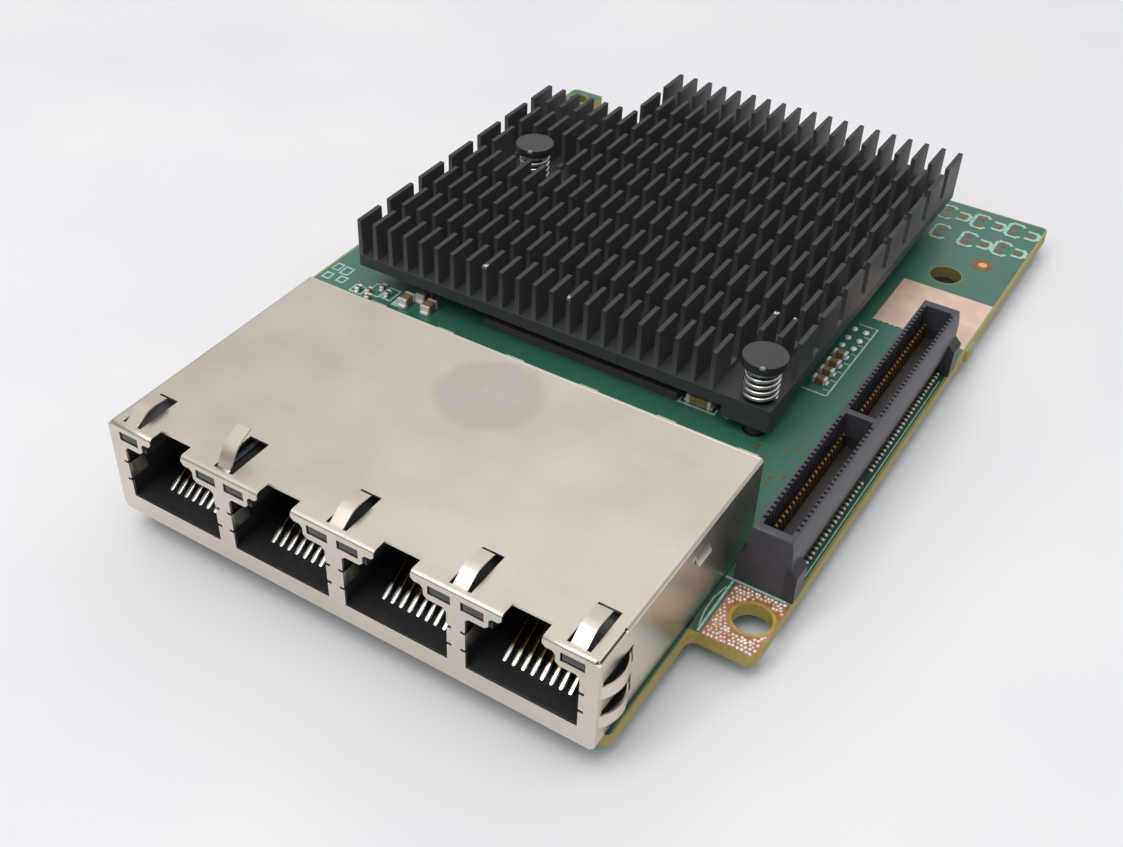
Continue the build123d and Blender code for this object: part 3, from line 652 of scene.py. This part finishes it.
for nick in small_nicks:
    bare = bare.larger(anodised.distance(*nick) < 0.45)
bare = bare * (anodised.z > fin_top - 0.35) * (anodised.noise(0.35, 2) > 0.45)
anodised.feed("Base Color", anodised.mix(bare, black, rgb(214, 212, 206)))
anodised.feed("Metallic", bare * 0.9)
anodised.feed("Roughness", 0.42 + 0.18 * dye - 0.1 * bare)
anodised.shader.inputs["Specular IOR Level"].default_value = 0.5
anodised.bump(drawn + dye, 0.12, 0.03)
sink = softened("sink", "heat_sink", 0.14)
settle(sink, anodised, "sink_anodised", "heat_sink")

# Push pins: black moulded pins with a round cap and a gate mark near its rim. A coil of bright spring wire
# under each cap presses the heat sink down, and a square boss below the sink's base surrounds the pin.
pin_plastic = Finish("pin_moulding")
pin_cloud = pin_plastic.noise(1.5, 2)
pin_black = pin_plastic.mottled(pin_cloud, rgb(40, 40, 44), rgb(50, 50, 55))
front_pin = (22.9, -6.65)
back_pin = (-23.45, 19.5)
gate_x = 0.75
gate_y = -2.4
gate_radius = 0.3
scar_low = 13.75
front_scar = pin_plastic.distance(front_pin[0] + gate_x, front_pin[1] + gate_y) < gate_radius
back_scar = pin_plastic.distance(back_pin[0] + gate_x, back_pin[1] + gate_y) < gate_radius
gate_scar = front_scar.larger(back_scar) * (pin_plastic.z > scar_low)
pin_plastic.feed("Base Color", pin_plastic.mix(gate_scar * 0.6, pin_black, rgb(176, 176, 178)))
pin_plastic.feed("Roughness", 0.3 + 0.14 * pin_cloud + 0.2 * gate_scar)
pin_plastic.shader.inputs["Specular IOR Level"].default_value = 0.65
bright = rgb(244, 240, 236)
spring_wire = cloudy("spring_wire", 0.7, rgb(214, 208, 202), bright, 0.24, 0.12, metallic=1.0)
gate_z = 13.94
coil_low = 8.4
coil_high = 13.0
coil_turns = 5
coil_radius = 1.86
wire = 0.5
boss_side = 5.8
boss_low = 5.3
boss_high = 1.5
boss_hole = 1.7
drill_depth = 4.0


def cut_away(piece, cutter):
    """Takes the cutter's shape out of a piece and clears the cutter away."""
    only(piece)
    cut = piece.modifiers.new("cut", "BOOLEAN")
    cut.operation = "DIFFERENCE"
    cut.object = cutter
    cut.solver = "EXACT"
    bpy.ops.object.modifier_apply(modifier="cut")
    bpy.data.objects.remove(cutter)


pins = (("front", front_pin, -0.65, 0.95), ("back", back_pin, 0, 0))
for place, (pin_x, pin_y), boss_x, boss_y in pins:
    pin = softened(f"{place}_pin", f"{place}_push_pin", 0.26, 3)
    settle(pin, pin_plastic, "push_pin_plastic", f"{place}_push_pin")
    boss = begun(f"{place}_boss")
    block(pin_x + boss_x, pin_y + boss_y, boss_low + boss_high / 2, boss_side, boss_side, boss_high)
    ended(boss)
    drill = begun("boss_drill")
    disc(pin_x, pin_y, boss_low, boss_hole, drill_depth, 28)
    bpy.ops.object.mode_set(mode="OBJECT")
    cut_away(boss, drill)
    broken_edges(boss, 0.1)
    settle(boss, anodised, "sink_anodised")
    gate = begun(f"{place}_gate_mark")
    dome(pin_x + gate_x, pin_y + gate_y, gate_z, 0.6, 0.25, 0.22, 0.3)
    ended(gate)
    settle(gate, pin_plastic, "push_pin_plastic")
    spring = begun(f"{place}_spring")
    bpy.ops.mesh.primitive_circle_add(
        vertices=12,
        radius=wire / 2 * mm,
        location=(coil_radius * mm, 0, (coil_low + wire / 2) * mm),
        rotation=(math.pi / 2, 0, 0),
    )
    bpy.ops.object.mode_set(mode="OBJECT")
    coil = spring.modifiers.new("coil", "SCREW")
    coil.axis = "Z"
    coil.angle = 2 * math.pi
    coil.iterations = coil_turns
    coil.screw_offset = (coil_high - coil_low - wire) / coil_turns * mm
    coil.steps = 36
    coil.render_steps = 36
    bpy.ops.object.modifier_apply(modifier="coil")
    bpy.ops.object.mode_set(mode="EDIT")
    bpy.ops.mesh.select_all(action="SELECT")
    bpy.ops.mesh.remove_doubles(threshold=0.002 * mm)
    bpy.ops.mesh.fill_holes(sides=0)
    bpy.ops.mesh.select_all(action="SELECT")
    bpy.ops.mesh.normals_make_consistent(inside=False)
    bpy.ops.transform.translate(value=(pin_x * mm, pin_y * mm, 0))
    ended(spring)
    settle(spring, spring_wire, "spring_steel", f"{place}_pin_spring")

# Board-to-board connector: a grey moulding with two bays. Comb slots in the bay walls guide the contacts,
# whose feet are soldered to the board along both sides.
plug_x = 34.6
bay_half = 1.55
wall_reach = bay_half + 0.4
bay_rows = [(-17.85, 24), (4.75, 28)]
pitch = 0.8
contact_ys = []
for middle, count in bay_rows:
    contact_ys += [middle + pitch * (i - (count - 1) / 2) for i in range(count)]
grey_moulding = Finish("grey_moulding")
grey_cloud = grey_moulding.noise(2.5, 3)
grey = grey_moulding.mottled(grey_cloud, rgb(61, 59, 68), rgb(72, 70, 81))
# Painted shade: the bays darker below their rims, the outer wall darker towards its foot.
bay_painted_shade = grey_moulding.inside(plug_x - wall_reach, plug_x + wall_reach, -28.0, 16.4)
bay_painted_shade = bay_painted_shade * (grey_moulding.z < 8.4)
low_wall_painted_shade = ((8.7 - grey_moulding.z) / 1.2).clipped() * (grey_moulding.x > plug_x + wall_reach)
grey = grey_moulding.mix(low_wall_painted_shade * 0.6, grey, rgb(36, 33, 42))
grey_moulding.feed("Base Color", grey_moulding.mix(bay_painted_shade, grey, rgb(52, 46, 43)))
grey_moulding.feed("Roughness", 0.36 + 0.15 * grey_cloud)
connector = softened("connector", "connector_housing", 0.1)
comb_z = 10.1
comb_deep = 0.7
comb_wide = 0.42
comb_high = 4.0
comb = begun("comb_cutter")
for y in contact_ys:
    for side in (-1, 1):
        block(plug_x + side * bay_half, y, comb_z, comb_deep, comb_wide, comb_high)
bpy.ops.object.mode_set(mode="OBJECT")
cut_away(connector, comb)
settle(connector, grey_moulding, "connector_plastic", "connector_housing")
bronze_leaf = cloudy("bronze_leaf", 0.9, rgb(120, 90, 64), rgb(162, 124, 90), 0.3, 0.16, metallic=0.7)
leaf_width = 0.34
leaf_thick = 0.14
leaf_toe = 2.0
leaf_low = 0.1
leaf_rise = [(1.1, leaf_low), (1.05, 0.5), (1.05, 4.3)]
leaf_bow = [(1.32, 5.0), (1.28, 5.4), (1.1, 5.65), (0.9, 5.5)]


def contact_row(name, side, first_y, count):
    """A row of bent spring leaves, drawn as one ribbon and repeated along the bay."""
    row = begun(name)
    toe_middle = plug_x + side * (leaf_toe - leaf_width / 2)
    bpy.ops.mesh.primitive_plane_add(
        size=leaf_width * mm, location=(toe_middle * mm, first_y * mm, (board_top + leaf_low) * mm)
    )
    bpy.ops.mesh.select_all(action="DESELECT")
    shape = bmesh.from_edit_mesh(row.data)
    at_x = leaf_toe - leaf_width
    at_z = leaf_low
    for edge in shape.edges:
        if all(abs(corner.co.x - (plug_x + side * at_x) * mm) < 0.01 * mm for corner in edge.verts):
            edge.select_set(True)
    bmesh.update_edit_mesh(row.data)
    for to_x, to_z in leaf_rise + leaf_bow:
        step = (side * (to_x - at_x) * mm, 0, (to_z - at_z) * mm)
        bpy.ops.mesh.extrude_region_move(TRANSFORM_OT_translate={"value": step})
        at_x, at_z = to_x, to_z
    bpy.ops.object.mode_set(mode="OBJECT")
    only(row)
    sheet = row.modifiers.new("sheet", "SOLIDIFY")
    sheet.thickness = leaf_thick * mm
    sheet.offset = 0
    bpy.ops.object.modifier_apply(modifier="sheet")
    repeat = row.modifiers.new("repeat", "ARRAY")
    repeat.use_relative_offset = False
    repeat.use_constant_offset = True
    repeat.constant_offset_displace = (0, pitch * mm, 0)
    repeat.count = count
    bpy.ops.object.modifier_apply(modifier="repeat")
    bpy.ops.object.mode_set(mode="EDIT")
    bpy.ops.mesh.select_all(action="SELECT")
    bpy.ops.mesh.normals_make_consistent(inside=False)
    ended(row, 70)
    return row


for name, side in (("inner", -1), ("outer", 1)):
    rows = []
    for bay, (middle, count) in enumerate(bay_rows):
        first_y = middle - pitch * (count - 1) / 2
        rows.append(contact_row(f"bay_contacts_{name}_{bay}", side, first_y, count))
    only(rows[0])
    rows[1].select_set(True)
    bpy.ops.object.join()
    rows[0].name = f"bay_contacts_{name}"
    settle(rows[0], bronze_leaf, "contact_gold", f"connector_contacts_{name}")
foot_z = board_top + 0.1
foot_high = 0.4
feet = begun("connector_solder")
for y in contact_ys:
    for side in (-1, 1):
        foot_long = chance.uniform(0.4, 0.6)
        foot_wide = chance.uniform(0.3, 0.42)
        dome(plug_x + side * leaf_toe, y, foot_z, foot_long, foot_wide, foot_high)
ended(feet)
settle(feet, solder, "pin_tin")

# Chip capacitors: fired ceramic blocks with plated ends, reflowed onto their pads. Three places of the row
# by the connector are empty.
ceramic = cloudy("fired_ceramic", 0.7, rgb(146, 124, 84), rgb(176, 154, 112), 0.35)
brown_ceramic = cloudy("brown_ceramic", 0.7, rgb(116, 88, 66), rgb(152, 120, 92), 0.35)


def chip_parts(name, node, places, size, along_y, finish, slot, floor=board_top, down=False):
    """Ceramic blocks with plated ends and a fillet of solder at each end, in place of one node."""
    long, wide, high = size
    sign = -1 if down else 1
    middle = floor + sign * high / 2
    end = 0.25 + 0.07 * long
    fillet = 0.22
    turn = math.pi / 2 if along_y else 0.0
    bodies = begun(f"{name}_bodies")
    for x, y in places:
        block(x, y, middle, long - 2 * end, wide * 0.94, high * 0.96, turn)
    ended(bodies)
    broken_edges(bodies, 0.03)
    settle(bodies, finish, slot, node)
    ends = begun(f"{name}_ends")
    fillets = []
    for x, y in places:
        for side in (-1, 1):
            reach = side * (long - end) / 2
            toe = side * (long + fillet) / 2
            if along_y:
                block(x, y + reach, middle, end, wide, high, turn)
                fillets.append((x, y + toe))
            else:
                block(x + reach, y, middle, end, wide, high)
                fillets.append((x + toe, y))
    ended(ends)
    broken_edges(ends, 0.06)
    settle(ends, solder, "pin_tin")
    skirts = begun(f"{name}_fillets")
    for x, y in fillets:
        block(x, y, floor + sign * high * 0.2, fillet, wide * 0.9, high * 0.4, turn)
    ended(skirts)
    broken_edges(skirts, 0.15, 3)
    settle(skirts, solder, "pin_tin")


row_x = 25.55
row_ys = [5.55, 7.6, 9.55, 11.6]
empty_ys = [14.03, 15.89, 17.96]
row_places = [(row_x, y) for y in row_ys]
row_size = (1.7, 0.9, 0.85)
brown_chip = (brown_ceramic, "chip_ceramic")
chip_parts("row_capacitors", "connector_capacitors", row_places, row_size, False, *brown_chip)
supply_places = [(15.7, -5.8)]
supply_size = (3.2, 1.6, 1.2)
chip_parts("supply_capacitor", "supply_capacitor", supply_places, supply_size, False, ceramic, "bulk_ceramic")
bulk_places = [(-24.5, -8.7), (-23.2, -6.7), (-21.2, -8.4)]
bulk_size = (2.0, 1.3, 1.2)
chip_parts("bulk_capacitors", "bulk_capacitors", bulk_places, bulk_size, True, brown_ceramic, "bulk_ceramic")
filter_places = [(-31.4, -9.6), (-30.0, -9.3), (-28.9, -7.7), (-27.6, -8.5), (-29.2, -10.5)]
filter_size = (1.1, 0.6, 0.55)
chip_parts("filter_capacitors", "filter_capacitors", filter_places, filter_size, True, *brown_chip)
under_places = [(-0.275 + 5 * i, 6.425 + 5 * j) for i in (-1, 0, 1) for j in (-1, 0, 1)]
under_size = (1.0, 0.5, 0.5)
chip_parts(
    "under_capacitors",
    "underside_capacitors",
    under_places,
    under_size,
    False,
    *brown_chip,
    floor=board_low,
    down=True,
)
empty_reach = 0.75
empty = begun("empty_pads")
for y in empty_ys:
    for side in (-1, 1):
        dome(row_x + side * empty_reach, y, board_top, 0.85, 0.95, 0.42)
ended(empty)
settle(empty, solder, "pin_tin")

# Under the heat sink: the clock crystal in its metal can and two moulded inductors. Little of them shows, in
# the gap below the sink's base.
can = cloudy("crystal_can", 1.5, rgb(180, 178, 172), rgb(204, 202, 196), 0.28, 0.15, detail=3, metallic=1.0)
crystal = softened("crystal", "clock_crystal", 0.2, 3)
settle(crystal, can, "crystal_can", "clock_crystal")
ferrite = cloudy("inductor_ferrite", 0.6, rgb(52, 50, 49), rgb(74, 72, 70), 0.6, detail=3)
coils = softened("inductor_pair", "inductors", 0.2, 3)
settle(coils, ferrite, "inductor_ferrite", "inductors")

# Table and light: a pale table under an overcast that is brightest overhead and stronger from behind than
# from the front, with a broad lamp and a small one in front.
bpy.ops.object.select_all(action="DESELECT")
bpy.ops.mesh.primitive_plane_add(size=4, location=(0, 0, 0))
table = bpy.context.object
table.name = "table"
table_finish = Finish("pale_table", roughness=0.7)
table_cloud = table_finish.noise(40, 2)
pale = table_finish.mottled(table_cloud, rgb(232, 232, 236), rgb(238, 238, 241))
table_finish.feed("Base Color", pale)
table.data.materials.append(table_finish.material)

world = bpy.data.worlds.new("overcast")
scene.world = world
world.use_nodes = True
sky = world.node_tree
direction = Shade(sky, Shade.node(sky, "ShaderNodeTexCoord").outputs["Generated"])
toward = Shade.node(sky, "ShaderNodeSeparateXYZ", None, {0: direction})
behind = Shade(sky, toward.outputs[1]).larger(0.0)
overhead = Shade(sky, toward.outputs[2]).larger(0.0)
leftward = Shade(sky, toward.outputs[0]).smaller(0.0)
ahead = (0.0 - Shade(sky, toward.outputs[1])).larger(0.0)
glow = 0.05 + 1.3 * overhead * overhead * overhead + 0.6 * behind + 0.22 * ahead - 0.15 * leftward
sky.links.new(glow.socket, sky.nodes["Background"].inputs["Strength"])
sky.nodes["Background"].inputs["Color"].default_value = (1, 1, 1, 1)
for name, place, size, power in (
    ("broad_lamp", (-0.05, -0.3, 0.6), 0.35, 1.2),
    ("small_lamp", (-0.21, -0.51, 0.51), 0.15, 0.4),
):
    lamp_data = bpy.data.lights.new(name, "AREA")
    lamp_data.size = size
    lamp_data.energy = power
    lamp = bpy.data.objects.new(name, lamp_data)
    scene.collection.objects.link(lamp)
    lamp.location = place
    lamp.rotation_euler = (-lamp.location).to_track_quat("-Z", "Y").to_euler()
